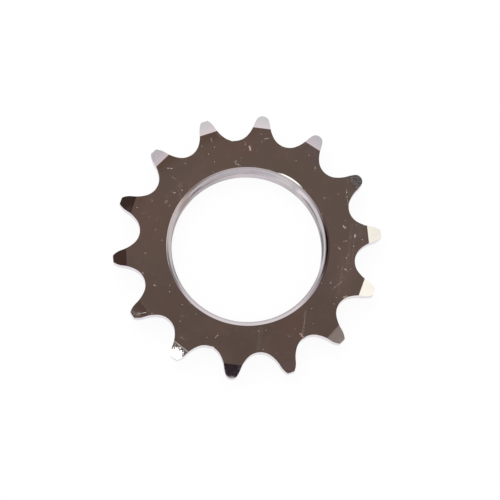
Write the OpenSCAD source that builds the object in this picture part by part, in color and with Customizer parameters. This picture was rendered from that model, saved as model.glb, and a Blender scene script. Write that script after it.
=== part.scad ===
// Single speed cog: one steel disc with chain teeth on its rim, a boss on its back
// and a threaded bore that screws onto a rear hub.
// It lies on its boss at z = 0 with the flat outer face up. A tooth points along +Y.

/* [Chain ring] */
// Number of teeth round the rim
teeth = 14; // [12:1:20]
// Distance between two chain rollers, measured along the chain (half an inch)
chain_pitch = 12.7; // [12.6:0.05:12.8]
// Radius of the round seat that holds a chain roller
seat_r = 4.0; // [3.92:0.02:4.1]
// Half of the angle over which the seat stays round, from its lowest point
seat_angle = 41.3; // [38:0.5:44]
// Radius of the hollow flank above the seat
flank_r = 7.7; // [7:0.1:9]
// Lean of the flank from the tooth's own axis where the hollow turns into the crest curve
flank_lean = 12; // [9:0.5:15]
// Radius of the outward curve that narrows the tooth to its tip
crest_r = 4.82; // [4.2:0.1:6]
// Height of a tooth tip above the pitch circle
tip_rise = 1.96; // [1.6:0.04:2.1]

/* [Tooth tips] */
// Teeth whose tip is worn round, counted anticlockwise from the +X axis
round_teeth = [1, 2, 3, 10];
// Radius of a round tip
round_tip_r = 1.6; // [1.4:0.05:1.7]
// Teeth that have lost only the corner on their clockwise side
soft_teeth = [6, 7];
// Radius of the softened corner
soft_r = 0.9; // [0.7:0.05:1.1]

/* [Plate and bevels] */
// Thickness of the toothed plate, thin enough for a 1/8 inch wide chain
plate_t = 3.2; // [2.8:0.1:3.3]
// Radius at which both bevels of the teeth begin
bevel_start_r = 27.7; // [27:0.1:28.5]
// Height that each bevel takes off the tooth at its tip
bevel_depth = 0.3; // [0.2:0.05:1.2]

/* [Boss] */
// Radius of the boss on the back
boss_r = 23.6; // [21:0.2:24]
// Overall height from the back of the boss to the outer face
height = 6.2; // [5:0.2:8]
// Edge break round the back of the boss
boss_chamfer = 0.5; // [0.2:0.1:1]

/* [Bore] */
// Radius of the thread crests, the narrowest part of the bore
thread_crest_r = 17.0; // [16.8:0.05:17.2]
// Radius of the bore's mouth in the outer face
mouth_r = 18.4; // [18:0.1:19]
// Width of the 45 degree edge break at the mouth
mouth_break = 0.57; // [0.3:0.05:0.8]
// Radius where the lead-in cone ends and the thread starts
lead_r = 17.3; // [17.25:0.05:17.5]
// Depth of the end of the lead-in cone below the outer face
lead_depth = 1.55; // [1.2:0.05:1.8]
// Edge break at the back of the bore
back_break = 0.5; // [0.3:0.1:0.8]

/* [Hidden] */

$fn = 96;
half_step = 180 / teeth;
pitch_r = chain_pitch / 2 / sin(half_step);
tip_r = pitch_r + tip_rise;
overlap = 0.02;
cut = 1;

// The flank arc touches the seat from inside, the crest arc touches the flank arc from outside.
flank_offset = flank_r - seat_r + overlap;
flank_x = -flank_offset * sin(seat_angle);
flank_y = flank_offset * cos(seat_angle);
crest_reach = flank_r + crest_r - overlap;
crest_angle = half_step + flank_lean;
crest_x = flank_x + crest_reach * cos(crest_angle);
crest_y = flank_y - crest_reach * sin(crest_angle);
seat_top_y = -seat_r * cos(seat_angle);
turn_y = flank_y - flank_r * sin(crest_angle);

// Height above the back of the boss
plate_z = height - plate_t;
bevel_run = tip_r - bevel_start_r;
bevel_slope = bevel_depth / bevel_run;
blank_r = tip_r + cut;
blank_drop = bevel_slope * (blank_r - bevel_start_r);
thread_top_z = height - lead_depth - (lead_r - thread_crest_r);

// Half width of the wedge between two tooth axes at height y over the pitch circle
function wedge_x(y) = (pitch_r + y) * tan(half_step);

// Part of one tooth gap below the turn: a round seat and the two hollow flanks
module gap_hollow() {
    circle(r = seat_r);
    intersection() {
        translate([flank_x, flank_y]) circle(r = flank_r);
        translate([-flank_x, flank_y]) circle(r = flank_r);
        translate([-flank_r, seat_top_y]) square([2 * flank_r, turn_y - seat_top_y + overlap]);
    }
}

// Part of one tooth gap above the turn, bounded by the outward curves of the two teeth
module gap_mouth() {
    top_y = tip_rise + cut;
    difference() {
        polygon([
            [-wedge_x(turn_y), turn_y],
            [wedge_x(turn_y), turn_y],
            [wedge_x(top_y), top_y],
            [-wedge_x(top_y), top_y]
        ]);
        translate([crest_x, crest_y]) circle(r = crest_r);
        translate([-crest_x, crest_y]) circle(r = crest_r);
    }
}

// Sliver of metal that is missing above a round tip, with the tooth axis along +X
module round_tip_cut() {
    difference() {
        translate([tip_r - round_tip_r / 2, -round_tip_r]) square([round_tip_r, 2 * round_tip_r]);
        translate([tip_r - round_tip_r, 0]) circle(r = round_tip_r);
    }
}

// Missing corner on the clockwise side of a tooth, with the tooth axis along +X
module soft_corner_cut() {
    corner_y = -soft_r / 2;
    difference() {
        translate([tip_r - soft_r, corner_y - soft_r - cut]) square([soft_r + cut, soft_r + cut]);
        translate([tip_r - soft_r, corner_y]) circle(r = soft_r);
        translate([tip_r - 2 * soft_r, corner_y]) square([soft_r * 3, cut]);
    }
}

// Outline of the toothed plate
module tooth_outline() {
    difference() {
        circle(r = tip_r);
        for (k = [0 : teeth - 1]) {
            rotate(2 * half_step * k - 90) translate([0, pitch_r]) gap_hollow();
            rotate(2 * half_step * k - 90) translate([0, pitch_r]) gap_mouth();
        }
        for (k = round_teeth) rotate(2 * half_step * (k + 0.5)) round_tip_cut();
        for (k = soft_teeth) rotate(2 * half_step * (k + 0.5)) soft_corner_cut();
    }
}

// Turned blank of the plate: flat faces with a bevel towards the rim on both sides
module plate_blank() {
    rotate_extrude() polygon([
        [0, plate_z],
        [bevel_start_r, plate_z],
        [blank_r, plate_z + blank_drop],
        [blank_r, height - blank_drop],
        [bevel_start_r, height],
        [0, height]
    ]);
}

// Boss that stands on the hub's shoulder
module boss() {
    cylinder(r1 = boss_r - boss_chamfer, r2 = boss_r, h = boss_chamfer);
    translate([0, 0, boss_chamfer]) cylinder(r = boss_r, h = plate_z + plate_t / 2 - boss_chamfer);
}

// Bore: edge break, lead-in cone, wall at the thread crests, edge break at the back
module bore() {
    rotate_extrude() polygon([
        [0, -cut],
        [thread_crest_r + back_break + cut, -cut],
        [thread_crest_r, back_break],
        [thread_crest_r, thread_top_z],
        [lead_r, height - lead_depth],
        [mouth_r - mouth_break, height - mouth_break],
        [mouth_r + cut, height + cut],
        [0, height + cut]
    ]);
}

// The whole cog
module cog() {
    color([0.78, 0.78, 0.80]) difference() {
        union() {
            intersection() {
                plate_blank();
                translate([0, 0, plate_z - cut])
                    linear_extrude(height = plate_t + 2 * cut) tooth_outline();
            }
            boss();
        }
        bore();
    }
}

cog();
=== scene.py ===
"""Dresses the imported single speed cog: one chrome plated toothed disc lying on a pale floor."""

import logging
import math
from collections.abc import Mapping, Sequence
from dataclasses import dataclass, field
from enum import Enum

import bmesh
import bpy
from mathutils import Matrix, Vector
from mathutils.geometry import intersect_sphere_sphere_2d


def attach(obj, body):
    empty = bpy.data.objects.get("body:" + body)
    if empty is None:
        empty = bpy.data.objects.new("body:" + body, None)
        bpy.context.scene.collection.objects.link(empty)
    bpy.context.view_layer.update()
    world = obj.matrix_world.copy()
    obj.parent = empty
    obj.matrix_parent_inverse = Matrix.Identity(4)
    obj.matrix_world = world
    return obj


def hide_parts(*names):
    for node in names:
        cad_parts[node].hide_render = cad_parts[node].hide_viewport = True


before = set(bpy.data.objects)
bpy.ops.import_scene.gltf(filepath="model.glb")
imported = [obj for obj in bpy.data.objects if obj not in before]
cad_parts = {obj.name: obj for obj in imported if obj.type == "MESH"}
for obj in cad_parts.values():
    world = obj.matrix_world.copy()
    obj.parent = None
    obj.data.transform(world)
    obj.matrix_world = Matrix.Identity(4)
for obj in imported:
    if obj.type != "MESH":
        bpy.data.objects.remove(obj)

LOG = logging.getLogger("cog")
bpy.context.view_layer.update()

MM = 0.001
INCH = 25.4
TAU = 2 * math.pi
FULL_TURN = 360.0
WHITE = (1.0, 1.0, 1.0)

# Lengths in millimetres under which two places count as one.
HAIR = 0.0005
WELD = 0.01
NEAR = 0.02

Colour = tuple[float, float, float]
Point = tuple[float, float]
Span = tuple[float, float]
BMesh = bmesh.types.BMesh
Vert = bmesh.types.BMVert
Edge = bmesh.types.BMEdge


def grey(level: float) -> Colour:
    """A neutral grey of that linear level."""
    return (level, level, level)


# Shader tools


class Wire:
    """A shader socket that can be used in plain arithmetic on values."""

    def __init__(self, bench: "Bench", socket: bpy.types.NodeSocket) -> None:
        """Keeps the socket and the bench that its node stands on."""
        self.bench = bench
        self.socket = socket

    def __add__(self, other: "Wire | float") -> "Wire":
        """This value plus another."""
        return self.bench.math("ADD", self, other)

    def __sub__(self, other: "Wire | float") -> "Wire":
        """This value less another."""
        return self.bench.math("SUBTRACT", self, other)

    def __rsub__(self, other: float) -> "Wire":
        """A number less this value."""
        return self.bench.math("SUBTRACT", other, self)

    def __mul__(self, other: "Wire | float") -> "Wire":
        """This value times another."""
        return self.bench.math("MULTIPLY", self, other)

    def __truediv__(self, other: "Wire | float") -> "Wire":
        """This value over another."""
        return self.bench.math("DIVIDE", self, other)

    def __abs__(self) -> "Wire":
        """This value without its sign."""
        return self.bench.math("ABSOLUTE", self)


class Bench:
    """Sets up the nodes of one material or world."""

    def __init__(self, tree: bpy.types.NodeTree) -> None:
        """Clears the tree and keeps it."""
        self.tree = tree
        tree.nodes.clear()

    def node(
        self,
        kind: str,
        settings: Mapping[str, object] | None = None,
        sockets: Mapping[str | int, object] | None = None,
    ) -> bpy.types.Node:
        """Adds one node.

        Args:
            kind: The node's type name.
            settings: Its own settings, set before its sockets. "stops" gives a ramp's stops.
            sockets: Values or wires for its input sockets, by name or place.

        Returns:
            The new node.
        """
        made = self.tree.nodes.new(kind)
        for name, value in (settings or {}).items():
            if name == "stops":
                self._set_stops(made.color_ramp, value)
            else:
                setattr(made, name, value)
        for name, value in (sockets or {}).items():
            if isinstance(value, Wire):
                self.tree.links.new(value.socket, made.inputs[name])
            elif isinstance(value, tuple) and made.inputs[name].type == "RGBA":
                made.inputs[name].default_value = (*value, 1.0)
            else:
                made.inputs[name].default_value = value
        return made

    @staticmethod
    def _set_stops(ramp: bpy.types.ColorRamp, stops: Sequence[tuple[float, Colour]]) -> None:
        """Puts stops on a ramp.

        Args:
            ramp: The ramp, which has two stops of its own at first.
            stops: Places from 0 to 1 with a colour each.
        """
        while len(ramp.elements) < len(stops):
            ramp.elements.new(1.0)
        for element, (place, colour) in zip(ramp.elements, stops):
            element.position = place
            element.color = (*colour, 1.0)

    def out(self, node: bpy.types.Node, name: str | int = 0) -> Wire:
        """The wire of one of a node's output sockets."""
        return Wire(self, node.outputs[name])

    def math(self, operation: str, *values: Wire | float) -> Wire:
        """A Math node on one, two or three values."""
        return self.out(self.node("ShaderNodeMath", {"operation": operation}, dict(enumerate(values))))

    def vector(self, operation: str, *values: object, out: str = "Vector") -> Wire:
        """A Vector Math node.

        Args:
            operation: What it does.
            *values: Its vectors, or a vector and a number for a scale.
            out: The name of the output that is wanted.

        Returns:
            The result.
        """
        sockets = dict(enumerate(values))
        if operation == "SCALE":
            sockets = {0: values[0], "Scale": values[1]}
        return self.out(self.node("ShaderNodeVectorMath", {"operation": operation}, sockets), out)

    def coords(self, kind: str) -> Wire:
        """The shaded point's coordinates of one kind."""
        return self.out(self.node("ShaderNodeTexCoord"), kind)

    def split(self, vector: Wire) -> tuple[Wire, ...]:
        """The three parts of a vector."""
        made = self.node("ShaderNodeSeparateXYZ", None, {"Vector": vector})
        return tuple(self.out(made, axis) for axis in "XYZ")

    def join(self, x: Wire, y: Wire, z: Wire | float) -> Wire:
        """A vector of three parts."""
        return self.out(self.node("ShaderNodeCombineXYZ", None, {"X": x, "Y": y, "Z": z}))

    def turns(self, x: Wire, y: Wire) -> Wire:
        """The angle from the first axis towards the second, in turns from -1/2 to 1/2."""
        return self.math("ARCTAN2", y, x) / TAU

    def mix(self, factor: Wire, low: object, high: object) -> Wire:
        """A colour that goes from low to high with the factor."""
        made = self.node("ShaderNodeMix", {"data_type": "RGBA"}, {0: factor, 6: low, 7: high})
        return self.out(made, 2)

    def ramp(self, place: Wire, stops: Sequence[tuple[float, Colour]]) -> Wire:
        """The colour at one place of a ramp."""
        return self.out(self.node("ShaderNodeValToRGB", {"stops": stops}, {"Fac": place}))

    def rise(self, value: Wire, start: float, end: float, low: float = 0.0, high: float = 1.0) -> Wire:
        """A smooth step from low to high while the value goes from start to end."""
        sockets = {"Value": value, "From Min": start, "From Max": end, "To Min": low, "To Max": high}
        return self.out(self.node("ShaderNodeMapRange", {"interpolation_type": "SMOOTHSTEP"}, sockets))

    def past(self, length: Wire, start: float, end: float) -> Wire:
        """A smooth step from 0 to 1 while a length goes from start to end, in millimetres."""
        return self.rise(length, start * MM, end * MM)

    def noise(self, place: Wire, scale: float, detail: float = 3.0, roughness: float = 0.5) -> Wire:
        """Cloudy noise from 0 to 1 with so many waves to a metre."""
        sockets = {"Vector": place, "Scale": scale, "Detail": detail, "Roughness": roughness}
        return self.out(self.node("ShaderNodeTexNoise", None, sockets))


# Mesh tools


def only(kind: type, items: Sequence[object]) -> list:
    """The items of one kind."""
    return [item for item in items if isinstance(item, kind)]


def open_edges(bm: BMesh, height: float) -> list[Edge]:
    """The open edges at one height."""
    return [e for e in bm.edges if e.is_boundary and all(abs(v.co.z - height) < NEAR for v in e.verts)]


def ring(bm: BMesh, radius: float, height: float, play: float = NEAR) -> list[Edge]:
    """The open edges on one circle about the cog's axis, within some play."""
    return [e for e in open_edges(bm, height) if all(abs(v.co.xy.length - radius) < play for v in e.verts)]


def push_to(vert: Vert, radius: float) -> None:
    """Moves a point straight out or in until it lies that far from the cog's axis."""
    vert.co.xy = vert.co.xy.normalized() * radius


def flare(bm: BMesh, edges: list[Edge], scale: float, rise: float) -> list[Edge]:
    """Carries an open end on to a new radius and height.

    Args:
        bm: The mesh.
        edges: The open end.
        scale: New radius over old radius.
        rise: How far the end moves up.

    Returns:
        The new open end.
    """
    grown = bmesh.ops.extrude_edge_only(bm, edges=edges)["geom"]
    verts = only(Vert, grown)
    bmesh.ops.scale(bm, vec=(scale, scale, 1.0), verts=verts)
    bmesh.ops.translate(bm, vec=(0, 0, rise), verts=verts)
    return [e for e in only(Edge, grown) if e.is_boundary]


def mesh_data(bm: BMesh, name: str) -> bpy.types.Mesh:
    """Writes a mesh to a new data block and frees it.

    Args:
        bm: The mesh.
        name: The data block's name.

    Returns:
        The data block.
    """
    mesh = bpy.data.meshes.new(name)
    bm.to_mesh(mesh)
    bm.free()
    return mesh


def add_object(name: str, data: bpy.types.ID) -> bpy.types.Object:
    """Puts a new object in the scene.

    Args:
        name: The object's name.
        data: Its mesh, camera or lamp.

    Returns:
        The object.
    """
    made = bpy.data.objects.new(name, data)
    bpy.context.scene.collection.objects.link(made)
    return made


# The teeth


@dataclass(frozen=True)
class ToothSizes:
    """The sizes of the teeth and of the gaps between them, in millimetres and degrees."""

    count: int = 14
    chain_pitch: float = 12.7
    seat_r: float = 4.0
    seat_angle: float = 41.3
    flank_r: float = 7.7
    flank_lean: float = 12.0
    crest_r: float = 4.82
    tip_rise: float = 1.96

    @property
    def half_step(self) -> float:
        """Half the angle from one tooth to the next, in radians."""
        return math.pi / self.count

    @property
    def pitch_r(self) -> float:
        """Radius of the circle through the chain rollers."""
        return self.chain_pitch / 2 / math.sin(self.half_step)

    @property
    def tip_r(self) -> float:
        """Radius of the tooth tips."""
        return self.pitch_r + self.tip_rise

    def axis(self, tooth: int) -> Vector:
        """The direction that a tooth points in."""
        angle = (2 * tooth + 1) * self.half_step
        return Vector((math.cos(angle), math.sin(angle), 0.0))

    def side(self, tooth: int) -> Vector:
        """The direction to a tooth's anticlockwise side."""
        axis = self.axis(tooth)
        return Vector((-axis.y, axis.x, 0.0))


class TipShape(Enum):
    """How a tooth tip ends."""

    SQUARE = "square"
    ROUND = "round"
    SOFT_CORNER = "soft corner"


@dataclass(frozen=True)
class Tooth:
    """One tooth's own form: its tip, where its bevel starts and how much the bevel falls."""

    tip: TipShape = TipShape.SQUARE
    crease: float = 27.5
    skew: float = 0.0
    fall: float = 0.3


@dataclass(frozen=True)
class Dent:
    """A small bruise in the rim: where it is, how wide and how deep, in millimetres."""

    x: float
    y: float
    reach: float
    depth: float


@dataclass
class ToothedPlate:
    """The flat toothed plate with its bevelled teeth, round the boss."""

    sizes: ToothSizes = field(default_factory=ToothSizes)
    top: float = 6.2
    thickness: float = 3.2
    root_r: float = 23.6
    round_tip_r: float = 1.6
    soft_r: float = 0.9
    edge_round: float = 0.05
    seat_steps: int = 12
    flank_steps: int = 7
    crest_steps: int = 8
    tip_steps: int = 4
    sector_play: float = 1.02
    rim_play: float = 0.2
    sharp_angle: float = 50.0
    level_play: float = 0.5
    teeth: tuple[Tooth, ...] = (
        Tooth(crease=27.53),
        Tooth(TipShape.ROUND, crease=28.05, skew=-0.05, fall=0.26),
        Tooth(TipShape.ROUND, crease=27.62),
        Tooth(TipShape.ROUND, crease=27.6),
        Tooth(crease=27.5),
        Tooth(crease=27.52),
        Tooth(TipShape.SOFT_CORNER, crease=27.42, skew=0.03),
        Tooth(TipShape.SOFT_CORNER, crease=27.5, skew=-0.05),
        Tooth(crease=27.3, skew=0.03),
        Tooth(crease=27.5, skew=-0.1),
        Tooth(TipShape.ROUND, crease=27.38),
        Tooth(crease=27.5),
        Tooth(crease=27.45, skew=0.05),
        Tooth(crease=27.47),
    )
    dents: tuple[Dent, ...] = (
        Dent(-6.4, 23.7, 0.45, 0.16),
        Dent(-4.9, -24.0, 0.5, 0.18),
        Dent(-9.1, -26.0, 0.4, -0.12),
        Dent(14.2, 19.5, 0.5, 0.12),
        Dent(-22.2, 9.8, 0.5, 0.1),
        Dent(24.6, -2.6, 0.5, 0.08),
        Dent(15.2, -19.2, 0.5, -0.1),
        Dent(-20.2, -18.3, 0.4, -0.1),
    )

    def build(self) -> BMesh:
        """Makes the plate.

        Returns:
            A mesh in millimetres, open along the circle where the plate's back meets the boss
            and along the same circle in its top face.
        """
        bm = bmesh.new()
        self._draw_outline(bm)
        self._shape_tips(bm)
        self._bruise(bm)
        self._lay_top_face(bm)
        self._cut_bevels(bm)
        self._close_back(bm)
        self._round_edges(bm)
        return bm

    def _draw_outline(self, bm: BMesh) -> None:
        """Spins a point through half of one gap, mirrors that and repeats it round the rim.

        Args:
            bm: The empty mesh.
        """
        s = self.sizes
        seat_angle = math.radians(s.seat_angle)
        turn_angle = s.half_step + math.radians(s.flank_lean)
        seat_mid = Vector((0.0, s.pitch_r, 0.0))
        from_seat = Vector((-math.sin(seat_angle), math.cos(seat_angle), 0.0))
        to_turn = Vector((math.cos(turn_angle), -math.sin(turn_angle), 0.0))
        flank_mid = seat_mid + (s.flank_r - s.seat_r) * from_seat
        crest_mid = flank_mid + (s.flank_r + s.crest_r) * to_turn
        meeting = intersect_sphere_sphere_2d(crest_mid.xy, s.crest_r, (0.0, 0.0), s.tip_r)
        corner = min(meeting, key=lambda point: point.x).to_3d()
        turn_point = flank_mid + s.flank_r * to_turn
        crest_sweep = (turn_point - crest_mid).xy.angle_signed((corner - crest_mid).xy)
        tip_sweep = math.atan2(corner.x, corner.y) - s.half_step
        arcs = (
            (seat_mid, seat_angle, self.seat_steps),
            (flank_mid, math.pi / 2 - seat_angle - turn_angle, self.flank_steps),
            (crest_mid, -abs(crest_sweep), self.crest_steps),
            (Vector(), tip_sweep, self.tip_steps),
        )
        last = [bm.verts.new(seat_mid - Vector((0.0, s.seat_r, -self.top)))]
        for middle, angle, steps in arcs:
            spun = bmesh.ops.spin(
                bm, geom=last, cent=middle, axis=(0, 0, 1), dvec=(0, 0, 0), angle=angle, steps=steps,
                use_merge=False, use_normal_flip=False, use_duplicate=False,
            )
            last = only(Vert, spun["geom_last"])
        half = bm.verts[:] + bm.edges[:]
        bmesh.ops.mirror(bm, geom=half, matrix=Matrix.Identity(4), merge_dist=2 * HAIR, axis="X")
        bmesh.ops.rotate(bm, verts=bm.verts[:], cent=(0, 0, 0), matrix=Matrix.Rotation(-math.pi / 2, 3, "Z"))
        bmesh.ops.spin(
            bm, geom=bm.verts[:] + bm.edges[:], cent=(0, 0, 0), axis=(0, 0, 1), dvec=(0, 0, 0), angle=TAU,
            steps=s.count, use_merge=False, use_normal_flip=False, use_duplicate=True,
        )
        bmesh.ops.remove_doubles(bm, verts=bm.verts[:], dist=WELD)

    def _near_tooth(self, bm: BMesh, tooth: int) -> list[Vert]:
        """Finds the points of one tooth.

        Args:
            bm: The mesh.
            tooth: The tooth's number.

        Returns:
            The points in the tooth's sector.
        """
        axis, side = self.sizes.axis(tooth), self.sizes.side(tooth)
        limit = math.tan(self.sizes.half_step) * self.sector_play
        return [v for v in bm.verts if abs(v.co.dot(side)) < v.co.dot(axis) * limit]

    def _shape_tips(self, bm: BMesh) -> None:
        """Draws the worn tips and corners in to their rounds.

        Args:
            bm: The mesh, with the outline in it.
        """
        for index, tooth in enumerate(self.teeth):
            if tooth.tip is TipShape.SQUARE:
                continue
            is_round = tooth.tip is TipShape.ROUND
            radius = self.round_tip_r if is_round else self.soft_r
            axis, side = self.sizes.axis(index), self.sizes.side(index)
            middle = axis * (self.sizes.tip_r - radius) + Vector((0, 0, self.top))
            if not is_round:
                middle -= side * self.soft_r / 2
            for vert in self._near_tooth(bm, index):
                offset = vert.co - middle
                on_side = is_round or offset.dot(side) < 0
                if offset.dot(axis) > 0 and on_side and offset.length > radius:
                    vert.co = middle + offset * (radius / offset.length)

    def _bruise(self, bm: BMesh) -> None:
        """Pushes the rim in, or a burr out, at its few dents.

        Args:
            bm: The mesh, with the outline in it.
        """
        for dent in self.dents:
            spot = Vector((dent.x, dent.y))
            for vert in bm.verts:
                share = 1 - (vert.co.xy - spot).length / dent.reach
                if share > 0:
                    push_to(vert, vert.co.xy.length - dent.depth * share)

    def _lay_top_face(self, bm: BMesh) -> None:
        """Lays the flat face between the outline and the circle over the boss.

        Args:
            bm: The mesh, with the outline in it.
        """
        grown = bmesh.ops.extrude_edge_only(bm, edges=bm.edges[:])["geom"]
        for vert in only(Vert, grown):
            push_to(vert, self.root_r)

    def _cut_bevels(self, bm: BMesh) -> None:
        """Cuts each tooth across at its crease and leans the part beyond it down.

        Args:
            bm: The mesh, with the top face in it.
        """
        for index, tooth in enumerate(self.teeth):
            axis = self.sizes.axis(index)
            normal = (axis + self.sizes.side(index) * tooth.skew).normalized()
            verts = set(self._near_tooth(bm, index))
            faces = [f for f in bm.faces if all(v in verts for v in f.verts)]
            edges = {e for f in faces for e in f.edges}
            crease_point = axis * tooth.crease
            bmesh.ops.bisect_plane(
                bm, geom=list(verts) + list(edges) + faces, dist=HAIR, plane_co=crease_point, plane_no=normal,
            )
            slope = tooth.fall / (self.sizes.tip_r - tooth.crease)
            lean = Matrix.Identity(4)
            lean[2] = (-slope * normal.x, -slope * normal.y, 1.0, slope * crease_point.dot(normal))
            tip = [v for v in self._near_tooth(bm, index) if (v.co - crease_point).dot(normal) > HAIR]
            bmesh.ops.transform(bm, matrix=lean, verts=tip)

    def _close_back(self, bm: BMesh) -> None:
        """Mirrors the top half to the back and bridges the rim between them.

        Args:
            bm: The mesh, with the bevelled top face in it.
        """
        middle = Matrix.Translation((0, 0, -(self.top - self.thickness / 2)))
        outline = [e for e in bm.edges if e.is_boundary and self._is_rim(e)]
        before = set(bm.edges)
        bmesh.ops.mirror(
            bm, geom=bm.verts[:] + bm.edges[:] + bm.faces[:], matrix=middle, merge_dist=-1.0, axis="Z",
        )
        back = [e for e in bm.edges if e not in before and e.is_boundary and self._is_rim(e)]
        bmesh.ops.bridge_loops(bm, edges=outline + back)

    def _is_rim(self, edge: Edge) -> bool:
        """Whether an edge lies outside the boss circle."""
        return min(v.co.xy.length for v in edge.verts) > self.root_r + self.rim_play

    def _round_edges(self, bm: BMesh) -> None:
        """Breaks the sharp edges between the rim's wall and the faces.

        Args:
            bm: The mesh, with its back closed.
        """
        bmesh.ops.recalc_face_normals(bm, faces=bm.faces[:])
        sharp = [
            e for e in bm.edges
            if len(e.link_faces) == 2 and self._is_rim(e)
            and e.calc_face_angle(0.0) > math.radians(self.sharp_angle)
            and abs(e.verts[0].co.z - e.verts[1].co.z) < self.level_play
        ]
        bmesh.ops.bevel(
            bm, geom=sharp, offset=self.edge_round, offset_type="OFFSET", segments=2, profile=0.5,
            affect="EDGES", clamp_overlap=True, material=-1,
        )


# The boss and bore


@dataclass
class ThreadedBore:
    """The bore: the mouth's edge break, the lead-in cone and the right hand hub thread.

    The thread's outline is given as shares of one pitch, with a depth of 0 at the crest and 1
    at the root.
    """

    top: float = 6.2
    mouth_r: float = 18.3
    break_r: float = 17.85
    break_z: float = 5.864
    lip_round: float = 0.2
    worn_round: float = 1.5
    worn_bearing: float = 64.0
    worn_spread: float = 15.0
    lip_steps: int = 6
    lead_r: float = 17.45
    lead_z: float = 5.0
    crest_r: float = 17.15
    root_r: float = 17.45
    threads_per_inch: float = 24.0
    back_r: float = 17.5
    back_z: float = 0.1
    steps: int = 360
    cut_play: float = 0.0001
    form: tuple[Point, ...] = (
        (0.0, 0.0), (0.145, 0.0), (0.29, 0.0), (0.436, 0.0),
        (0.545, 0.5), (0.655, 1.0), (0.782, 1.0), (0.891, 0.5),
    )

    @property
    def pitch(self) -> float:
        """Rise of the thread in one turn, in millimetres."""
        return INCH / self.threads_per_inch

    @property
    def break_angle(self) -> float:
        """How steeply the edge break falls towards the bore, in radians."""
        return math.atan2(self.top - self.break_z, self.mouth_r - self.break_r)

    def build(self) -> BMesh:
        """Makes the bore as an open tube.

        Returns:
            A mesh in millimetres, open at the mouth in the top face and at the back.
        """
        bm = bmesh.new()
        self._wind_thread(bm)
        self._open_ends(bm)
        upper, lower = open_edges(bm, self.lead_z), open_edges(bm, self.back_z)
        upper = flare(bm, upper, self.break_r / self.lead_r, self.break_z - self.lead_z)
        for step in range(self.lip_steps + 1):
            upper = flare(bm, upper, 1.0, 0.0)
            self._set_lip(upper, self.break_angle * (1 - step / self.lip_steps))
        flare(bm, lower, self.back_r / self.root_r, -self.back_z)
        return bm

    def _set_lip(self, edges: list[Edge], slope: float) -> None:
        """Moves a ring onto the rounded lip of the mouth, which is rounder where it is worn.

        Args:
            edges: The ring.
            slope: How steep the lip is where the ring goes, in radians.
        """
        for vert in {v for e in edges for v in e.verts}:
            bearing = math.degrees(math.atan2(vert.co.y, vert.co.x))
            wear = max(0.0, 1 - ((bearing - self.worn_bearing) / self.worn_spread) ** 2)
            lip_round = self.lip_round + wear * (self.worn_round - self.lip_round)
            outer = self.mouth_r + lip_round * math.tan(self.break_angle / 2)
            push_to(vert, outer - lip_round * math.sin(slope))
            vert.co.z = self.top - lip_round * (1 - math.cos(slope))

    def _wind_thread(self, bm: BMesh) -> None:
        """Spins the thread's outline through one turn while it climbs by one pitch.

        Args:
            bm: The empty mesh.
        """
        last = None
        for turn in range(-1, math.ceil(self.top / self.pitch) + 2):
            for share, depth in self.form:
                radius = self.crest_r + depth * (self.root_r - self.crest_r)
                vert = bm.verts.new((radius, 0.0, (turn + share) * self.pitch))
                if last is not None:
                    bm.edges.new((last, vert))
                last = vert
        bmesh.ops.spin(
            bm, geom=bm.verts[:] + bm.edges[:], cent=(0, 0, 0), axis=(0, 0, 1),
            dvec=(0, 0, self.pitch / self.steps), angle=TAU, steps=self.steps,
            use_merge=False, use_normal_flip=False, use_duplicate=False,
        )
        bmesh.ops.remove_doubles(bm, verts=bm.verts[:], dist=NEAR)

    def _open_ends(self, bm: BMesh) -> None:
        """Turns the two cones into the thread's ends and cuts the rest away.

        Args:
            bm: The mesh, with the thread in it.
        """
        lead = (self.break_r - self.lead_r) / (self.break_z - self.lead_z)
        for vert in bm.verts:
            up = vert.co.z
            cone = max(self.lead_r + lead * (up - self.lead_z), self.root_r - (up - self.back_z))
            if cone > vert.co.xy.length:
                push_to(vert, cone)
        for height, up in ((self.lead_z, 1), (self.back_z, -1)):
            bmesh.ops.bisect_plane(
                bm, geom=bm.verts[:] + bm.edges[:] + bm.faces[:], dist=self.cut_play,
                plane_co=(0, 0, height), plane_no=(0, 0, up), clear_outer=True,
            )
            for vert in (v for v in bm.verts if abs(v.co.z - height) < WELD):
                push_to(vert, self.root_r)
                vert.co.z = height


@dataclass
class Boss:
    """The turned boss behind the plate, which stands on the hub's shoulder."""

    radius: float = 23.6
    seat_z: float = 3.0
    edge_break: float = 0.5

    def turn(self, bm: BMesh) -> list[Edge]:
        """Carries the plate's open back circle down to the boss's back face.

        Args:
            bm: The cog's mesh, with the plate in it.

        Returns:
            The open circle round the back face.
        """
        edges = ring(bm, self.radius, self.seat_z)
        edges = flare(bm, edges, 1.0, self.edge_break - self.seat_z)
        return flare(bm, edges, (self.radius - self.edge_break) / self.radius, -self.edge_break)


# The finish


class Tone(Enum):
    """What a mark in the plating looks like."""

    PALE = "pale"
    DULL = "dull"
    RUST = "rust"
    GOLD = "gold"


@dataclass(frozen=True)
class Mark:
    """A nick, speck or scratch in the plating, from one end to the other, in millimetres."""

    start: Point
    end: Point
    width: float
    strength: float = 1.0
    tone: Tone = Tone.PALE


def speck(x: float, y: float, width: float = 0.17, strength: float = 0.8, tone: Tone = Tone.PALE) -> Mark:
    """A round mark."""
    return Mark((x, y), (x, y), width, strength, tone)


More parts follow.
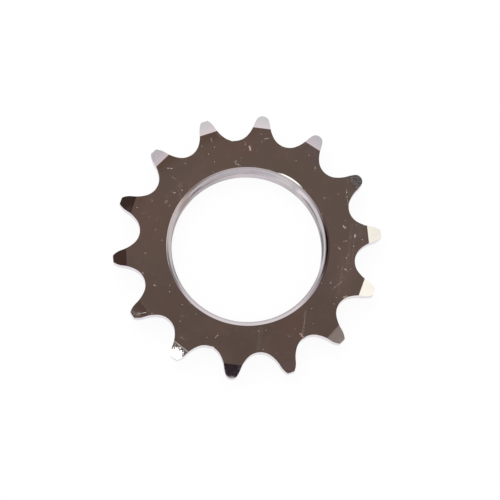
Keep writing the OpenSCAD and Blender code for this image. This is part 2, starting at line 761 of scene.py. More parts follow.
FACE_MARKS: tuple[Mark, ...] = (
    # nicks near the top of the face
    Mark((-2.3, 23.0), (-2.0, 22.2), 0.26, 0.85),
    Mark((-3.4, 23.9), (-3.2, 23.3), 0.2, 0.38),
    Mark((-11.2, 23.8), (-11.0, 23.0), 0.2, 0.55),
    speck(-13.1, 21.7, 0.18, 1.0),
    speck(-10.3, 21.75, 0.2, 0.77),
    speck(-3.8, 20.0, 0.18, 0.85),
    Mark((-5.2, 18.9), (-3.9, 18.3), 0.26, 0.47),
    speck(-4.2, 18.35, 0.26, 0.59),
    Mark((-7.2, 20.3), (-6.3, 19.9), 0.13, 0.34),
    speck(-13.4, 17.35, 0.16, 0.33),
    speck(0.3, 24.5, 0.22, 0.64),
    Mark((0.9, 25.2), (1.7, 25.5), 0.18, 0.6),
    speck(-0.4, 22.3, 0.24, 0.26),
    Mark((-10.4, 25.4), (-8.9, 24.3), 0.14, 0.25),
    # left of the bore
    Mark((-20.3, 15.5), (-19.2, 15.6), 0.15, 1.0),
    Mark((-18.8, 13.65), (-18.2, 13.25), 0.15, 0.5),
    Mark((-18.7, 10.45), (-17.9, 10.0), 0.18, 0.43),
    Mark((-19.5, 8.1), (-19.3, 7.6), 0.22, 0.52),
    speck(-18.65, 7.0, 0.2, 0.57),
    speck(-19.8, 7.45, 0.16, 0.41),
    Mark((-24.6, 4.3), (-23.9, 4.6), 0.17, 0.41),
    speck(-23.0, 3.8, 0.16, 0.41),
    speck(-21.9, 2.7, 0.15, 0.32),
    speck(-23.75, -2.75, 0.18, 0.41, Tone.DULL),
    speck(-19.8, -4.7, 0.13, 0.25),
    speck(-20.0, -8.1, 0.16, 0.36),
    Mark((-20.3, -8.8), (-20.4, -9.4), 0.13, 0.25),
    Mark((-19.9, -11.6), (-19.5, -11.8), 0.17, 0.68),
    speck(-19.5, -13.9, 0.18, 0.36),
    # below the bore
    speck(-12.5, -17.85, 0.18, 0.43),
    Mark((-4.7, -21.9), (-4.2, -21.3), 0.14, 0.6),
    speck(-12.3, -22.7, 0.2, 0.75),
    speck(-11.7, -22.9, 0.13, 0.5),
    speck(-0.6, -21.2, 0.2, 0.27),
    Mark((-11.5, -14.5), (-10.9, -14.9), 0.18, 0.33),
    speck(7.3, -19.9, 0.18, 0.45),
    speck(11.8, -19.5, 0.15, 0.59),
    speck(12.8, -17.6, 0.18, 0.45),
    speck(7.9, -17.5, 0.15, 0.36),
    speck(16.8, -15.85, 0.17, 0.63),
    speck(12.1, -15.9, 0.13, 0.36, Tone.RUST),
    Mark((14.3, -18.5), (15.0, -19.3), 0.28, 0.81, Tone.RUST),
    # right of the bore
    speck(16.6, -10.6, 0.17, 0.5),
    speck(21.0, -10.8, 0.2, 0.7),
    speck(21.3, -9.25, 0.2, 0.52),
    Mark((22.9, -9.0), (23.7, -8.6), 0.2, 0.9, Tone.GOLD),
    Mark((19.6, -6.1), (19.9, -5.9), 0.15, 0.49),
    speck(20.3, -5.0, 0.15, 0.49),
    Mark((20.4, -7.4), (22.3, -5.3), 0.15, 0.35),
    Mark((22.6, -2.5), (22.9, -2.8), 0.16, 0.8),
    speck(23.3, -3.1, 0.16, 0.7),
    speck(23.8, -2.3, 0.2, 0.6),
    speck(19.8, 2.9, 0.15, 0.7),
    Mark((20.4, 2.6), (20.9, 1.8), 0.13, 0.5),
    speck(23.9, 3.0, 0.18, 0.6),
    Mark((23.9, 5.7), (23.9, 5.1), 0.17, 0.95),
    Mark((21.4, 3.8), (22.3, 4.0), 0.15, 0.45),
    Mark((21.1, 7.4), (21.5, 7.0), 0.26, 1.0),
    speck(21.4, 8.7, 0.17, 0.7),
    Mark((19.0, 14.7), (19.2, 14.3), 0.15, 0.45),
    Mark((20.75, 15.9), (20.95, 15.3), 0.2, 0.3, Tone.GOLD),
    Mark((21.2, 13.6), (21.7, 12.4), 0.17, 0.6, Tone.GOLD),
    speck(21.05, 14.2, 0.2, 0.8, Tone.GOLD),
    speck(13.1, 20.1, 0.25, 0.8),
    speck(13.2, 19.4, 0.25, 0.32),
    speck(8.7, 21.0, 0.17, 0.72),
    speck(11.4, 22.7, 0.15, 0.8),
    Mark((9.3, 24.2), (10.2, 25.2), 0.2, 0.15),
    # on the bevels
    Mark((-22.6, -18.6), (-20.8, -18.15), 0.09, 1.0),
    Mark((-20.45, -17.4), (-20.35, -17.8), 0.1, 0.5),
    speck(-22.0, -16.3, 0.12, 0.7),
    speck(-23.4, -18.7, 0.14, 0.4),
)

FAINT_BANDS: tuple[Mark, ...] = (
    Mark((5.1, -18.2), (5.1, -23.7), 0.25, 0.5),
    Mark((5.7, -18.2), (5.5, -23.0), 0.2, 0.5),
    Mark((14.8, -13.2), (14.8, -18.6), 0.42, 0.6),
    Mark((22.9, -1.0), (22.9, 8.0), 0.5, 0.35),
    Mark((23.9, -0.5), (23.8, 4.0), 0.35, 0.3),
    Mark((21.8, -2.0), (21.7, -8.5), 0.45, 0.3),
    Mark((-12.9, -20.0), (-12.6, -11.5), 0.5, 0.12),
    Mark((-17.0, 12.0), (-16.0, 7.5), 1.0, 0.35),
    Mark((19.9, -8.0), (19.9, -14.0), 0.3, 0.25),
)


@dataclass(frozen=True)
class Patch:
    """A stretch round the cog painted in another tone, which stands for reflected light or shade there.

    Its middle and half width are given in degrees. Where it has a reach, it fades that far above
    and below a height in the bore, or inside and outside a radius on the face.
    """

    bearing: float
    spread: float
    tone: Colour
    share: float = 1.0
    middle: float = 0.0
    reach: float = 0.0


# Painted reflections in the bore's colour: paler and darker stretches round the bore where it mirrors
# brighter or darker surroundings.
BORE_PAINTED_LIGHT: tuple[Patch, ...] = (
    Patch(8.0, 30.0, (0.68, 0.63, 0.66)),
    Patch(36.0, 12.0, (0.66, 0.61, 0.64)),
    Patch(50.0, 9.0, (0.84, 0.78, 0.80)),
    Patch(68.0, 10.0, (0.64, 0.61, 0.625)),
    Patch(108.0, 36.0, (0.49, 0.455, 0.485), 0.9),
    Patch(152.0, 11.0, (0.40, 0.32, 0.31)),
    Patch(-151.0, 14.0, (0.42, 0.39, 0.40), 0.9),
    Patch(-85.0, 55.0, (0.57, 0.52, 0.545)),
    # Painted shade: a dark band at the top of the lead-in cone on the right.
    Patch(-5.0, 36.0, (0.08, 0.055, 0.06), 0.95, 5.85, 0.45),
)

# A painted reflection: a paler stretch of the thread round bearing 92.
THREAD_PAINTED_LIGHT: tuple[Patch, ...] = (
    Patch(92.0, 34.0, (0.86, 0.82, 0.865), 0.8),
)

# Painted shadow lines in the thread's grooves, which climb with the thread; their middle is the height at
# bearing 0.
THREAD_SHADOW_LINES: tuple[Patch, ...] = (
    Patch(9.0, 19.0, (0.04, 0.035, 0.04), 1.0, 4.0, 1.2),
    Patch(38.0, 18.0, (0.17, 0.155, 0.17), 0.85, 4.2, 0.75),
    Patch(112.0, 40.0, (0.30, 0.27, 0.29), 0.4, 4.47, 0.2),
    Patch(139.0, 7.0, (0.035, 0.03, 0.035), 0.95, 4.47, 0.26),
    Patch(-152.0, 9.0, (0.05, 0.04, 0.045), 0.85, 5.33, 0.2),
)

# Painted shade that dims the lip's mirrored glint round bearing 64.
LIP_GLINT_SHADE: tuple[Patch, ...] = (
    Patch(64.0, 16.0, (0.43, 0.425, 0.41)),
)

# Painted reflections on the face and bevels: warmer, cooler, paler and darker stretches where the mirrored
# surroundings change.
FACE_PAINTED_REFLECTIONS: tuple[Patch, ...] = (
    Patch(172.0, 22.0, (0.87, 0.77, 0.765), 0.8, 23.0, 6.5),
    Patch(140.0, 24.0, (0.88, 0.82, 0.845), 0.8, 19.8, 3.4),
    Patch(110.0, 16.0, (0.86, 0.81, 0.77), 0.7, 21.0, 3.6),
    Patch(98.0, 10.0, (0.89, 0.78, 0.76), 0.7, 23.0, 3.0),
    Patch(130.0, 52.0, (0.70, 0.61, 0.59), 0.85, 27.4, 3.0),
    Patch(63.0, 9.0, (0.78, 0.77, 0.86), 0.9, 26.0, 4.0),
    Patch(68.0, 14.0, (0.775, 0.785, 0.74), 0.7, 20.4, 2.4),
    Patch(38.0, 10.0, (0.79, 0.82, 0.84), 0.6, 25.5, 3.0),
    Patch(-8.0, 22.0, (0.90, 0.84, 0.875), 0.9, 23.0, 3.4),
    Patch(15.0, 8.0, (0.83, 0.87, 0.91), 0.7, 25.6, 3.0),
    Patch(-36.0, 17.0, (0.71, 0.715, 0.715), 0.8, 21.5, 5.0),
    Patch(-22.0, 14.0, (0.74, 0.69, 0.77), 0.6, 19.0, 1.6),
    Patch(-54.0, 12.0, (0.77, 0.665, 0.64), 0.8, 20.4, 3.0),
    Patch(-64.0, 10.0, (0.74, 0.665, 0.71), 0.8, 24.5, 4.0),
    Patch(-116.0, 14.0, (0.74, 0.74, 0.745), 0.6, 22.0, 4.5),
    Patch(-136.0, 13.0, (0.77, 0.71, 0.735), 0.7, 21.5, 4.0),
    # Painted dark reflection: a band round the mouth on the right.
    Patch(3.0, 27.0, (0.40, 0.31, 0.31), 0.85, 18.5, 0.22),
)


@dataclass(frozen=True)
class Zone:
    """A stretch of a tooth, measured from the cog's axis, over which a finish comes in."""

    tooth: int
    start: float
    full: float


@dataclass(frozen=True)
class Spot:
    """The shaded point on the cog's top side, with the noises that its wear shares."""

    bench: Bench
    sizes: ToothSizes
    flat: Wire
    on_top: Wire
    grain: Wire
    coarse: Wire

    def along(self, tooth: int) -> Wire:
        """How far the point lies along a tooth's axis, in millimetres."""
        return self.bench.vector("DOT_PRODUCT", self.flat, tuple(self.sizes.axis(tooth) / MM), out="Value")

    def across(self, tooth: int) -> Wire:
        """How far the point lies to a tooth's anticlockwise side, in millimetres."""
        return self.bench.vector("DOT_PRODUCT", self.flat, tuple(self.sizes.side(tooth) / MM), out="Value")

    def on(self, zone: Zone, shift: Wire | float = 0.0) -> Wire:
        """How far the point, shifted a little outward, is into a zone of the top side."""
        return self.bench.rise(self.along(zone.tooth) + shift, zone.start, zone.full) * self.on_top


@dataclass(frozen=True)
class ToothWear:
    """The finishes that single teeth have of their own. Each pair of tones is dark, then pale."""

    gritty: Zone = Zone(1, 28.0, 28.9)
    grit_tones: tuple[Colour, Colour] = ((0.28, 0.262, 0.266), (0.56, 0.54, 0.55))
    grit_dullness: float = 0.07
    grit_bump: Zone = Zone(1, 28.0, 28.5)
    flecked: Zone = Zone(9, 27.45, 27.6)
    fleck_tones: tuple[Colour, Colour] = ((0.030, 0.022, 0.022), (0.10, 0.09, 0.088))
    fleck_skew: float = 0.1
    fleck_side: Span = (3.4, 3.2)
    fleck_flank: Span = (0.6, 2.1)
    fleck_bare: Span = (28.9, 28.1)
    pitted: Zone = Zone(10, 27.2, 27.4)
    pit_waves: float = 6800.0
    pit_density: Span = (27.6, 30.4)
    pit_tone: Colour = grey(0.35)
    pit_dullness: float = 0.06
    pit_bump: Zone = Zone(10, 27.2, 27.6)
    rubbed: Zone = Zone(10, 30.2, 31.0)
    rub_dullness: float = 0.12
    darkened: Zone = Zone(5, 28.8, 30.2)
    dark_tone: Colour = grey(0.2)
    dark_share: float = 0.6
    dulled: Zone = Zone(8, 28.0, 30.4)
    dullness: float = 0.03
    blushing_teeth: tuple[int, ...] = (2, 3, 4, 5)
    blush: Colour = (0.87, 0.82, 0.835)
    blush_side: Span = (3.2, 3.0)
    blush_start: Span = (27.3, 27.6)
    blush_end: Span = (29.0, 27.6)
    greyed_tip: Colour = (0.735, 0.765, 0.765)
    greyed: Span = (28.4, 30.2)
    bump_waves: float = 2500.0
    bump_strength: float = 0.35
    bump_depth: float = 0.05

    def lay(self, spot: Spot, colour: Wire, roughness: Wire) -> tuple[Wire, Wire]:
        """Lays the finishes of all these teeth over the plating.

        Args:
            spot: The shaded point.
            colour: The plating's colour.
            roughness: The plating's roughness.

        Returns:
            The colour and the roughness with the wear.
        """
        bench, grain, coarse = spot.bench, spot.grain, spot.coarse
        gritty = spot.on(self.gritty, coarse * 0.9)
        grit = bench.mix(bench.rise(grain, 0.38, 0.62), *self.grit_tones)
        colour = bench.mix(gritty, colour, grit)
        fleck = bench.mix(bench.rise(grain, 0.42, 0.6), *self.fleck_tones)
        colour = bench.mix(self._flecks(spot), colour, fleck)

        pitted = spot.on(self.pitted)
        speckle = bench.noise(spot.flat, self.pit_waves, 2.0, 0.6)
        density = bench.rise(spot.along(self.pitted.tooth), *self.pit_density, 0.5)
        pits = pitted * bench.rise(speckle, 0.52, 0.6) * density
        colour = bench.mix(pitted * bench.rise(speckle, 0.5, 0.42), colour, self.pit_tone)

        darkened = spot.on(self.darkened, grain) * bench.rise(coarse, 0.46, 0.62)
        colour = bench.mix(darkened * self.dark_share, colour, self.dark_tone)
        for tooth in self.blushing_teeth:
            colour = self._blushed(spot, tooth, colour)
        roughness = roughness + gritty * self.grit_dullness + pits * self.pit_dullness
        roughness = roughness + spot.on(self.rubbed, coarse) * self.rub_dullness
        return colour, roughness + spot.on(self.dulled) * self.dullness

    def _flecks(self, spot: Spot) -> Wire:
        """Where dark flecks stand on the chipped tooth.

        Args:
            spot: The shaded point.

        Returns:
            One in the flecks, which thin out towards the bare tip and stay longest on the flanks.
        """
        bench, tooth = spot.bench, self.flecked.tooth
        along, across = spot.along(tooth), spot.across(tooth)
        here = bench.rise(abs(across), *self.fleck_side)
        flank = bench.rise(abs(across + self.fleck_skew), *self.fleck_flank)
        wear = along - flank * 1.5 + (spot.coarse - 0.5) * 2.4 + (spot.grain - 0.5) * 4.5
        return spot.on(self.flecked, across * -self.fleck_skew) * bench.rise(wear, *self.fleck_bare) * here

    def _blushed(self, spot: Spot, tooth: int, colour: Wire) -> Wire:
        """Adds the pinkish stretch beyond a bevel's crease and the greyer tip.

        Args:
            spot: The shaded point.
            tooth: The tooth's number.
            colour: The colour so far.

        Returns:
            The colour with both.
        """
        bench, along = spot.bench, spot.along(tooth)
        nearby = bench.rise(abs(spot.across(tooth)), *self.blush_side) * spot.on_top
        near_crease = bench.rise(along, *self.blush_end) * bench.rise(along, *self.blush_start) * nearby
        colour = bench.mix(near_crease, colour, self.blush)
        return bench.mix(bench.rise(along, *self.greyed) * nearby, colour, self.greyed_tip)

    def bump(self, spot: Spot, place: Wire) -> Wire:
        """The texture of the gritty and the pitted tooth.

        Args:
            spot: The shaded point.
            place: The point's place.

        Returns:
            The bumped normal.
        """
        fine = spot.bench.noise(place, self.bump_waves, 4.0, 0.65)
        height = fine * (spot.on(self.grit_bump) * 0.5 + spot.on(self.pit_bump) * 0.12)
        sockets = {"Strength": self.bump_strength, "Distance": self.bump_depth * MM, "Height": height}
        return spot.bench.out(spot.bench.node("ShaderNodeBump", None, sockets))


@dataclass(frozen=True)
class BoreFinish:
    """The satin finish of the bore, with painted reflections and shade in patches, a paler thread, painted
    shadow lines along the thread and turning lines.
    """

    satin: Colour = (0.54, 0.50, 0.525)
    thread_satin: Colour = (0.80, 0.76, 0.79)
    thread_z: float = 4.7
    thread_pitch: float = 1.058
    line_dark: Colour = (0.36, 0.33, 0.35)
    line_pale: Colour = (0.82, 0.78, 0.81)
    line_share: float = 0.3
    line_waves: float = 5200.0
    line_stretch: float = 0.02

    def tone(self, bench: Bench, place: tuple[Wire, ...], bearing: Wire) -> Wire:
        """The bore's colour, with painted reflections and shade.

        Args:
            bench: Where the nodes go.
            place: The three parts of the point's place.
            bearing: The point's bearing, in degrees.

        Returns:
            The colour.
        """
        x, y, z = place
        # Painted reflections round the bore, and a painted shade at the top of the lead-in cone.
        colour = paint_light_patches(bench, BORE_PAINTED_LIGHT, bearing, z, self.satin)
        on_thread = bench.past(z, self.thread_z, self.thread_z - 0.2)
        colour = bench.mix(on_thread * 0.5, colour, self.thread_satin)
        # A painted reflection: a paler stretch of the thread.
        colour = paint_light_patches(bench, THREAD_PAINTED_LIGHT, bearing, z, colour, on_thread)
        # Painted shadow lines along the thread's grooves.
        climb = z - bearing * (self.thread_pitch * MM / FULL_TURN)
        colour = paint_light_patches(bench, THREAD_SHADOW_LINES, bearing, climb, colour)
        wander = bench.join(x * self.line_stretch, y * self.line_stretch, z)
        lines = bench.noise(wander, self.line_waves, 2.0, 0.6)
        colour = bench.mix(bench.rise(lines, 0.5, 0.68) * self.line_share, colour, self.line_dark)
        return bench.mix(bench.rise(lines, 0.46, 0.34) * self.line_share, colour, self.line_pale)


def paint_light_patches(
    bench: Bench,
    patches: Sequence[Patch],
    bearing: Wire,
    place: Wire,
    colour: Wire | Colour,
    where: Wire | float = 1.0,
) -> Wire:
    """Lays soft patches of painted reflection or shade over a colour.

    Args:
        bench: Where the nodes go.
        patches: The patches.
        bearing: The bearing of the point, in degrees.
        place: The point's height or radius.
        colour: The colour so far.
        where: One where the patches may show.

    Returns:
        The colour with the patches.
    """
    for patch in patches:
        gap = abs(bench.math("WRAP", bearing - patch.bearing, FULL_TURN / 2, -FULL_TURN / 2))
        share = bench.rise(gap, patch.spread, patch.spread * 0.3, 0.0, patch.share) * where
        if patch.reach:
            share = share * bench.past(abs(place - patch.middle * MM), patch.reach, 0.2 * patch.reach)
        colour = bench.mix(share, colour, patch.tone)
    return colour


def strongest(bench: Bench, flat: Wire, marks: Sequence[Mark], core: float) -> Wire:
    """The strongest of a set of marks at each point.

    Args:
        bench: Where the nodes go.
        flat: The place in plan.
        marks: The marks.
        core: The share of a mark's width over which it has its full strength.

    Returns:
        The strength, 0 where there is no mark.
    """
    total = 0.0
    for mark in marks:
        start = Vector((*mark.start, 0.0)) * MM
        run = Vector((*mark.end, 0.0)) * MM - start
        if run.length:
            ahead = bench.vector("SUBTRACT", flat, tuple(start))
            along = bench.vector("DOT_PRODUCT", ahead, tuple(run / run.length_squared), out="Value")
            along = bench.math("MINIMUM", bench.math("MAXIMUM", along, 0.0), 1.0)
            gap = bench.vector("DISTANCE", ahead, bench.vector("SCALE", tuple(run), along), out="Value")
        else:
            gap = bench.vector("DISTANCE", flat, tuple(start), out="Value")
        here = bench.rise(gap, mark.width * MM, core * mark.width * MM, 0.0, mark.strength)
        total = bench.math("MAXIMUM", total, here)
    return total


@dataclass(frozen=True)
class ChromePlate:
    """Bright chrome plating on turned steel, nicked and scuffed by use, with painted reflections and shade in
    its colour.
    """

    name: str = "chrome_plate_polished"
    base: Colour = (0.80, 0.79, 0.80)
    cool_patch: Colour = (0.78, 0.80, 0.775)
    warm_patch: Colour = (0.85, 0.785, 0.79)
    cloud_share: float = 0.7
    cloud_waves: Span = (110.0, 120.0)
    painted_low_shade: Colour = (0.69, 0.662, 0.675)
    low_shade_start: Span = (4.0, -22.0)
    satin: Colour = (0.74, 0.69, 0.735)
    polish: float = 0.045
    dull_polish: float = 0.105
    polish_waves: float = 420.0
    nick_roughness: float = 0.45
    nick_chalk: float = 0.12
    wall_roughness: float = 0.25
    bore_roughness: float = 0.36
    band_roughness: float = 0.2
    dust_roughness: float = 0.3
    dust_waves: float = 620.0
    pale: Colour = (0.74, 0.70, 0.68)
    dull: Colour = (0.80, 0.62, 0.66)
    rust: Colour = (0.86, 0.50, 0.36)
    gold: Colour = (0.88, 0.78, 0.50)
    shake: float = 0.7
    shake_waves: float = 2600.0
    broken_waves: float = 4200.0
    grain_waves: float = 3400.0
    coarse_waves: float = 1500.0
    top_z: Span = (4.8, 5.1)
    face_z: Span = (6.14, 6.19)
    wall_r: Span = (23.8, 24.0)
    mouth_r: Span = (18.35, 18.45)
    bore_r: Span = (17.85, 17.81)
    lip_start: Span = (18.2, 18.33)
    lip_end: Span = (18.75, 18.65)
    wear: ToothWear = ToothWear()
    bore: BoreFinish = BoreFinish()

    def make(self, sizes: ToothSizes) -> bpy.types.Material:
        """Builds the material.

        Args:
            sizes: The teeth's sizes, which place the finishes of single teeth.

        Returns:
            The plating's material.
        """
        material = bpy.data.materials.new(self.name)
        material.use_nodes = True
        bench = Bench(material.node_tree)
        place = bench.coords("Object")
        x, y, z = bench.split(place)
        flat = bench.join(x, y, 0.0)
        radius = bench.vector("LENGTH", flat, out="Value")
        bearing = bench.turns(x, y) * FULL_TURN
        outside = bench.past(radius, *self.mouth_r)
        on_top = bench.past(z, *self.top_z) * outside
        on_face = bench.past(z, *self.face_z) * outside
        steep = bench.rise(abs(bench.split(bench.coords("Normal"))[2]), 0.35, 0.2)
        on_wall = steep * bench.past(radius, *self.wall_r)
        in_bore = bench.past(radius, *self.bore_r)
        on_lip = bench.past(radius, *self.lip_end) * bench.past(radius, *self.lip_start)

        colour = self._clouds(bench, flat, y, on_face)
        # Painted reflections on the face, and painted shade that dims the lip's glint.
        colour = paint_light_patches(bench, FACE_PAINTED_REFLECTIONS, bearing, radius, colour, on_face)
        colour = paint_light_patches(bench, LIP_GLINT_SHADE, bearing, radius, colour, on_lip)
        clouds = bench.noise(place, self.polish_waves, 4.0)
        roughness = bench.rise(clouds, 0.45, 0.75, self.polish, self.dull_polish)
        ragged = self._ragged(bench, flat)
        broken = bench.rise(bench.noise(flat, self.broken_waves, 2.0, 0.6), 0.36, 0.6, 0.4) * on_top
        metal = 1.0
        for tone in Tone:
            marks = strongest(bench, ragged, [mark for mark in FACE_MARKS if mark.tone is tone], 0.3) * broken
            colour = bench.mix(marks, colour, getattr(self, tone.value))
            roughness = roughness + marks * (self.nick_roughness - self.polish)
            if tone is Tone.PALE:
                metal = 1.0 - marks * self.nick_chalk
        bands = strongest(bench, flat, FAINT_BANDS, 0.0) * on_face
        dust = self._dust(bench, flat) * on_face
        roughness = roughness + bands * self.band_roughness + dust * self.dust_roughness

        grain = bench.noise(flat, self.grain_waves, 3.0, 0.7)
        coarse = bench.noise(bench.vector("ADD", flat, (0.2, 0.1, 0.0)), self.coarse_waves, 4.0, 0.7)
        spot = Spot(bench, sizes, flat, on_top, grain, coarse)
        colour, roughness = self.wear.lay(spot, colour, roughness)
        colour = bench.mix(on_wall, colour, self.satin)
        colour = bench.mix(in_bore, colour, self.bore.tone(bench, (x, y, z), bearing))
        roughness = roughness + on_wall * (self.wall_roughness - self.polish)
        roughness = roughness + in_bore * (self.bore_roughness - self.polish)
        bump = self.wear.bump(spot, place)
        sockets = {"Base Color": colour, "Metallic": metal, "Roughness": roughness, "Normal": bump}
        shader = bench.node("ShaderNodeBsdfPrincipled", None, sockets)
        bench.node("ShaderNodeOutputMaterial", None, {"Surface": bench.out(shader)})
        return material

    def _clouds(self, bench: Bench, flat: Wire, y: Wire, on_face: Wire) -> Wire:
        """The plating's colour, with painted shade that darkens it towards the low side, and faint cool and
        warm clouds.

        Args:
            bench: Where the nodes go.
            flat: The place in plan.
            y: The place along +Y.
            on_face: One on the flat face.

        Returns:
            The colour.
        """
        cool_waves, warm_waves = self.cloud_waves
        elsewhere = bench.vector("ADD", flat, (0.3, 0.7, 0.1))
        cool = bench.rise(bench.noise(flat, cool_waves), 0.42, 0.68) * on_face
        warm = bench.rise(bench.noise(elsewhere, warm_waves), 0.42, 0.7) * on_face
        # Painted shade: the face darkens towards -Y.
        colour = bench.mix(bench.past(y, *self.low_shade_start) * on_face, self.base, self.painted_low_shade)
        colour = bench.mix(cool * self.cloud_share, colour, self.cool_patch)
        return bench.mix(warm * self.cloud_share, colour, self.warm_patch)

    def _ragged(self, bench: Bench, flat: Wire) -> Wire:
        """The place in plan, shaken a little, so that marks get ragged edges.

        Args:
            bench: Where the nodes go.
            flat: The place in plan.

        Returns:
            The shaken place.
        """
        sockets = {"Vector": flat, "Scale": self.shake_waves, "Detail": 2.0}
        noise = bench.node("ShaderNodeTexNoise", None, sockets)
        centred = bench.vector("SUBTRACT", bench.out(noise, "Color"), (0.5, 0.5, 0.5))
        shake = self.shake * MM
        return bench.vector("ADD", flat, bench.vector("MULTIPLY", centred, (shake, shake, 0.0)))

    def _dust(self, bench: Bench, flat: Wire) -> Wire:
        """A thin scatter of the smallest specks.

        Args:
            bench: Where the nodes go.
            flat: The place in plan.

        Returns:
            One in the specks, which stand in a few of the pattern's cells.
        """
        sockets = {"Vector": flat, "Scale": self.dust_waves, "Randomness": 1.0}
        cells = bench.node("ShaderNodeTexVoronoi", {"voronoi_dimensions": "2D"}, sockets)
        few = bench.out(bench.node("ShaderNodeSeparateColor", None, {"Color": bench.out(cells, "Color")}), 0)
        return bench.rise(bench.out(cells, "Distance"), 0.11, 0.03) * bench.rise(few, 0.8, 0.98)


# The cog


@dataclass
class Cog:
    """The whole cog: toothed plate, boss and threaded bore in one piece."""

    name: str = "cog_chromed"
    plate: ToothedPlate = field(default_factory=ToothedPlate)
    bore: ThreadedBore = field(default_factory=ThreadedBore)
    boss: Boss = field(default_factory=Boss)
    finish: ChromePlate = ChromePlate()
    smooth_angle: float = 14.0
    crease_angle: float = 3.0
    lip_play: float = 0.5
    level_slope: float = 0.95

    def build(self) -> bpy.types.Object:
        """Joins the plate, the boss and the bore into one closed piece.

        Returns:
            The cog's object, dressed in its plating.
        """
        bm = self.plate.build()
        tube = mesh_data(self.bore.build(), "bore")
        bm.from_mesh(tube)
        bpy.data.meshes.remove(tube)
        back = self.boss.turn(bm)
        top = self.plate.top
        mouth = ring(bm, self.plate.root_r, top) + ring(bm, self.bore.mouth_r, top, self.lip_play)
        for rims in (mouth, back + ring(bm, self.bore.back_r, 0.0)):
            bmesh.ops.triangle_fill(bm, edges=rims, use_beauty=True, use_dissolve=False, normal=(0, 0, 1))
        bmesh.ops.dissolve_degenerate(bm, edges=bm.edges[:], dist=HAIR)
        bmesh.ops.recalc_face_normals(bm, faces=bm.faces[:])
        open_count = sum(not e.is_manifold for e in bm.edges)
        LOG.info("cog: %d faces, %d open edges, volume %.1f mm3", len(bm.faces), open_count, bm.calc_volume())
        self._sharpen(bm)
        bmesh.ops.scale(bm, vec=(MM, MM, MM), verts=bm.verts[:])
        mesh = mesh_data(bm, self.name)
        mesh.shade_smooth()
        mesh.materials.append(self.finish.make(self.plate.sizes))
        return add_object(self.name, mesh)

    def _sharpen(self, bm: BMesh) -> None:
        """Keeps the shading crisp along the edges, also along the shallow creases of the teeth.

        Args:
            bm: The whole mesh.
        """
        for edge in bm.edges:
            on_tooth = edge.verts[0].co.xy.length > self.plate.root_r + 1
            level = all(abs(face.normal.z) > self.level_slope for face in edge.link_faces)
            limit = self.crease_angle if on_tooth and level else self.smooth_angle
            edge.smooth = edge.calc_face_angle(0.0) < math.radians(limit)


# The studio


@dataclass(frozen=True)
class Viewpoint:
    """Where the camera stands over the cog's face, in radians and millimetres."""

    pitch: float = -0.20062
    roll: float = 0.04154
    turn: float = -0.11990
    offset: tuple[float, float, float] = (-0.57600, 0.94100, -679.37270)
    face_z: float = 6.2
    lens: float = 216.25
    sensor: float = 36.0
    clip: Span = (0.01, 20.0)

    @property
    def to_camera(self) -> Matrix:
        """The rotation from the cog's axes to the camera's."""
        tip = Matrix.Rotation(self.pitch, 3, "X") @ Matrix.Rotation(self.roll, 3, "Y")
        return tip @ Matrix.Rotation(self.turn, 3, "Z")

    @property
    def mirrored(self) -> Vector:
        """The direction that the flat face mirrors towards the camera."""
        seen = self.to_camera.transposed() @ Vector((0, 0, 1))
        return Vector((-seen.x, -seen.y, seen.z))

    def place_camera(self) -> None:
        """Adds the camera and makes it the scene's own."""
        data = bpy.data.cameras.new("camera")
        data.lens = self.lens
        data.sensor_width = self.sensor
        data.clip_start, data.clip_end = self.clip
        camera = add_object("camera", data)
        back = self.to_camera.transposed()
        where = (Vector((0, 0, self.face_z)) - back @ Vector(self.offset)) * MM
        camera.matrix_world = Matrix.Translation(where) @ back.to_4x4()
        bpy.context.scene.camera = camera


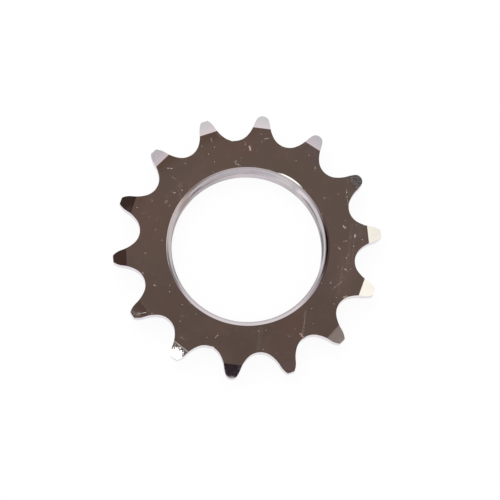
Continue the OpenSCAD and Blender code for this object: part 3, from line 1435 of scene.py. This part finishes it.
@dataclass(frozen=True)
class Surroundings:
    """What the plating mirrors: a brown ceiling, panels round it and a horizon, as linear light."""

    ceiling: Colour = (0.138, 0.097, 0.079)
    ceiling_end: Span = (6.0, 9.0)
    panel_end: Span = (30.0, 38.0)
    panel_edge: float = 0.12
    panels: tuple[Colour, ...] = (
        (1.12, 1.07, 0.94),
        (0.12, 0.105, 0.107),
        (0.67, 0.61, 0.65),
        (0.80, 0.75, 0.77),
        (0.78, 0.725, 0.735),
        (0.65, 0.59, 0.62),
        (0.048, 0.029, 0.0235),
        (0.0625, 0.035, 0.0285),
        (0.103, 0.0636, 0.051),
        (2.60, 2.55, 2.45),
        (0.033, 0.021, 0.027),
        (0.136, 0.091, 0.080),
        (0.283, 0.225, 0.20),
        (1.22, 1.18, 1.035),
    )
    horizon: tuple[tuple[float, Colour], ...] = (
        (0.0, (0.66, 0.57, 0.54)),
        (15.0, (0.60, 0.52, 0.50)),
        (27.0, (0.27, 0.235, 0.23)),
        (34.0, (0.25, 0.215, 0.21)),
        (44.0, (0.28, 0.24, 0.245)),
        (54.0, (0.70, 0.62, 0.65)),
        (62.0, (0.82, 0.73, 0.77)),
        (75.0, (0.84, 0.76, 0.76)),
        (126.0, (0.84, 0.77, 0.78)),
        (138.0, (0.50, 0.44, 0.46)),
        (148.0, (0.36, 0.32, 0.34)),
        (156.0, (0.09, 0.075, 0.078)),
        (163.0, (0.05, 0.035, 0.035)),
        (170.0, (0.012, 0.008, 0.010)),
        (182.0, (0.016, 0.010, 0.012)),
        (190.0, (0.07, 0.052, 0.058)),
        (197.0, (0.20, 0.17, 0.18)),
        (206.0, (0.36, 0.31, 0.33)),
        (215.0, (0.48, 0.43, 0.45)),
        (228.0, (0.55, 0.51, 0.52)),
        (242.0, (0.66, 0.62, 0.62)),
        (257.0, (0.56, 0.50, 0.51)),
        (295.0, (0.56, 0.49, 0.50)),
        (316.0, (0.42, 0.36, 0.36)),
        (330.0, (0.27, 0.21, 0.20)),
        (338.0, (0.40, 0.33, 0.31)),
        (346.0, (0.62, 0.53, 0.50)),
        (360.0, (0.66, 0.57, 0.54)),
    )
    fill: float = 0.9

    def hang(self, mirrored: Vector, tooth_count: int) -> None:
        """Builds the world.

        Args:
            mirrored: The direction that the flat face mirrors towards the camera.
            tooth_count: How many panels stand round the ceiling, one for each tooth's bevel.
        """
        world = bpy.data.worlds.new("surroundings")
        bpy.context.scene.world = world
        world.use_nodes = True
        bench = Bench(world.node_tree)
        ray = bench.coords("Generated")
        side = (Vector((1, 0, 0)) - mirrored * mirrored.x).normalized()
        frame_axes = (mirrored, side, mirrored.cross(side))
        up, right, ahead = (bench.vector("DOT_PRODUCT", ray, tuple(axis), out="Value") for axis in frame_axes)
        tilt = bench.math("ARCCOSINE", up) * (FULL_TURN / TAU)
        stops = []
        for index, colour in enumerate(self.panels):
            ends = (index + self.panel_edge, index + 1 - self.panel_edge)
            stops += [(end / tooth_count, colour) for end in ends]
        panels = bench.ramp(bench.math("FRACT", bench.turns(right, ahead) + 1.0), stops)
        x, y, _ = bench.split(ray)
        low_stops = [(angle / FULL_TURN, colour) for angle, colour in self.horizon]
        horizon = bench.ramp(bench.math("FRACT", bench.turns(x, y) + 1.0), low_stops)
        room = bench.mix(bench.rise(tilt, *self.ceiling_end), self.ceiling, panels)
        room = bench.mix(bench.rise(tilt, *self.panel_end), room, horizon)
        path = bench.node("ShaderNodeLightPath")
        room = bench.mix(bench.out(path, "Is Diffuse Ray"), room, grey(self.fill))
        seen = bench.mix(bench.out(path, "Is Camera Ray"), room, WHITE)
        back = bench.node("ShaderNodeBackground", None, {"Color": seen, "Strength": 1.0})
        bench.node("ShaderNodeOutputWorld", None, {"Surface": bench.out(back)})


@dataclass(frozen=True)
class Floor:
    """The pale floor, seen as plain white, with a trace of the cog's shadow."""

    reach: float = 3.0
    colour: Colour = grey(0.9)
    shadow_share: float = 0.08

    def lay(self) -> bpy.types.Object:
        """Makes the floor and its material.

        Returns:
            The floor's object.
        """
        bm = bmesh.new()
        bmesh.ops.create_grid(bm, x_segments=1, y_segments=1, size=self.reach)
        mesh = mesh_data(bm, "floor")
        material = bpy.data.materials.new("pale_floor")
        material.use_nodes = True
        bench = Bench(material.node_tree)
        path = bench.node("ShaderNodeLightPath")
        seen = bench.math("MAXIMUM", bench.out(path, "Is Camera Ray"), bench.out(path, "Is Glossy Ray"))
        seen = bench.math("MAXIMUM", seen, bench.out(path, "Is Transmission Ray"))
        matt = bench.node("ShaderNodeBsdfDiffuse", None, {"Color": self.colour})
        white = bench.node("ShaderNodeEmission", None, {"Color": WHITE, "Strength": 1.0})
        sockets = {0: seen * (1 - self.shadow_share), 1: bench.out(matt), 2: bench.out(white)}
        mixed = bench.node("ShaderNodeMixShader", None, sockets)
        bench.node("ShaderNodeOutputMaterial", None, {"Surface": bench.out(mixed)})
        mesh.materials.append(material)
        return add_object("floor", mesh)


@dataclass(frozen=True)
class SoftLamp:
    """A broad soft lamp over the cog, which the plating doesn't mirror."""

    size: float = 0.9
    power: float = 4.4
    place: tuple[float, float, float] = (-0.25, 0.35, 0.9)

    def hang(self) -> None:
        """Adds the lamp, turned towards the cog."""
        data = bpy.data.lights.new("soft_lamp", "AREA")
        data.shape = "DISK"
        data.size = self.size
        data.energy = self.power
        lamp = add_object("soft_lamp", data)
        lamp.location = self.place
        lamp.rotation_euler = (-Vector(self.place)).to_track_quat("-Z", "Y").to_euler()
        lamp.visible_glossy = False


def main() -> None:
    """Builds the studio and the cog and ties the cog to its CAD body."""
    logging.basicConfig(level=logging.INFO, format="%(name)s: %(message)s")
    bpy.context.scene.view_settings.view_transform = "Standard"
    viewpoint = Viewpoint()
    viewpoint.place_camera()
    LOG.info("camera: lens %.0f mm", viewpoint.lens)
    sizes = ToothSizes()
    Surroundings().hang(viewpoint.mirrored, sizes.count)
    Floor().lay()
    SoftLamp().hang()
    LOG.info("studio: floor, surroundings and lamp")
    cog = Cog(plate=ToothedPlate(sizes=sizes)).build()
    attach(cog, "root")
    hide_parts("cog")
    LOG.info("cog: tied to its body")


if __name__ == "__main__":
    main()
